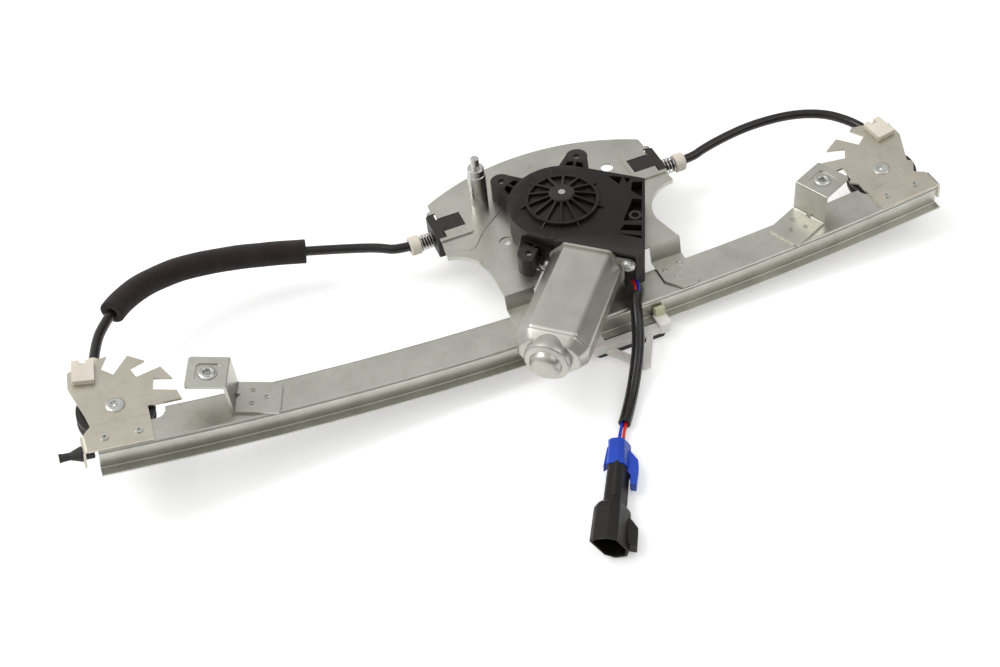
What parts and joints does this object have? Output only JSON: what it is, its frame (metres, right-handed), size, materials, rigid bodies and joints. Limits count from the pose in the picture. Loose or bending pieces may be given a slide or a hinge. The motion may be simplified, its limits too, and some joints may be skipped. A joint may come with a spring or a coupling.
{
  "type": "window regulator",
  "caption": "Cable-driven window regulator: arched guide rail, geared motor on a plate, conduits, pulleys, sliding carriage and a wiring lead.",
  "frame": {"origin": "on the axis of the mounting post, half way up its threaded tip", "axes": "+X along the guide rail towards its right end as pictured, +Y across the rail away from the carriage's strut, +Z normal to the motor plate, along the mounting post"},
  "size_m": [0.6324, 0.3349, 0.0858],
  "materials": {
    "galvanised_sheet": "satin zinc-plated sheet",
    "bracket_sheet": "satin zinc-plated sheet, slightly warm",
    "can_steel": "drawn, plated and smooth",
    "bright_steel": "bright screws, springs and rivets",
    "cable_steel": "stranded",
    "black_plastic": "glass-filled, satin",
    "gloss_black": "glossy",
    "white_plastic": "unfilled, satin",
    "shoe_plastic": "pale yellow-green",
    "foam": "closed-cell foam",
    "rubber": "matt",
    "blue_plastic": "satin",
    "red_insulation": "glossy",
    "blue_insulation": "glossy",
    "bronze": "sintered",
    "copper": "machined",
    "dark_iron": "matt",
    "carbon": "matt carbon",
    "natural_plastic": "acetal"
  },
  "bodies": {
    "regulator_frame": {"guide_rail": "galvanised_sheet", "left_end_bracket": "bracket_sheet", "right_end_bracket": "bracket_sheet", "end_bracket_rivets": "bright_steel", "left_fixing_bracket": "galvanised_sheet", "right_fixing_bracket": "galvanised_sheet", "clinch_nuts": "bright_steel", "motor_plate": "galvanised_sheet", "mounting_post": "bright_steel", "gear_housing": "black_plastic", "gear_cover": "black_plastic", "housing_screws": "bright_steel", "drum_axle": "bright_steel", "drum_housing": "black_plastic", "motor_can": "can_steel", "motor_magnets": "dark_iron", "rear_bush": "bronze", "front_bush": "bronze", "brush_holder": "black_plastic", "carbon_brushes": "carbon", "motor_screws": "bright_steel", "power_socket": "black_plastic", "left_conduit_seat": "black_plastic", "right_conduit_seat": "black_plastic", "left_conduit": "gloss_black", "right_conduit": "gloss_black", "foam_sleeve": "foam", "left_conduit_cap": "white_plastic", "right_conduit_cap": "white_plastic", "left_tension_spring": "bright_steel", "right_tension_spring": "bright_steel", "left_conduit_clip": "white_plastic", "right_conduit_clip": "white_plastic", "end_stop": "rubber", "left_pulley_axle": "bright_steel", "right_pulley_axle": "bright_steel", "lift_cable": "cable_steel", "blue_wire": "blue_insulation", "red_wire": "red_insulation", "harness_sleeve": "gloss_black", "connector_lock": "blue_plastic", "connector_body": "black_plastic", "connector_shell": "black_plastic", "connector_blades": "bright_steel"},
    "glass_carriage": {"carriage": "black_plastic", "carriage_slider": "white_plastic", "front_shoe": "shoe_plastic", "rear_shoe": "shoe_plastic", "cable_nipples": "bright_steel"},
    "left_pulley_wheel": {"left_pulley": "black_plastic"},
    "right_pulley_wheel": {"right_pulley": "black_plastic"},
    "drum_unit": {"cable_drum": "natural_plastic", "drum_winding": "cable_steel", "worm_wheel": "natural_plastic"},
    "armature": {"armature_shaft": "bright_steel", "armature_core": "dark_iron", "commutator": "copper"}
  },
  "joints": [
    {"name": "carriage_travel", "type": "hinge", "parent": "regulator_frame", "child": "glass_carriage", "pos_m": [0.076, -0.1131, 1.743], "axis": [0, 1, 0], "range_deg": [-5.2, 8.8]},
    {"name": "left_pulley_spin", "type": "hinge", "parent": "regulator_frame", "child": "left_pulley_wheel", "pos_m": [-0.28301, -0.0911, -0.02799], "axis": [0.1944, 0, 0.9809], "range_deg": [-723.8, 428.1]},
    {"name": "right_pulley_spin", "type": "hinge", "parent": "regulator_frame", "child": "right_pulley_wheel", "pos_m": [0.28036, -0.0911, -0.05241], "axis": [-0.1111, 0, 0.9938], "range_deg": [-723.8, 428.1]},
    {"name": "drum_spin", "type": "hinge", "parent": "regulator_frame", "child": "drum_unit", "pos_m": [0.0466, -0.0455, -0.05], "axis": [0, 0, 1], "range_deg": [-663.6, 392.5]},
    {"name": "armature_spin", "type": "hinge", "parent": "regulator_frame", "child": "armature", "pos_m": [0.0428, -0.0957, -0.035], "axis": [-0.6587, -0.7524, 0], "continuous": true}
  ],
  "couplings": [
    {"joint": "left_pulley_spin", "follows": "carriage_travel", "ratio": -82.136},
    {"joint": "right_pulley_spin", "follows": "carriage_travel", "ratio": -82.136},
    {"joint": "drum_spin", "follows": "carriage_travel", "ratio": -75.292}
  ]
}
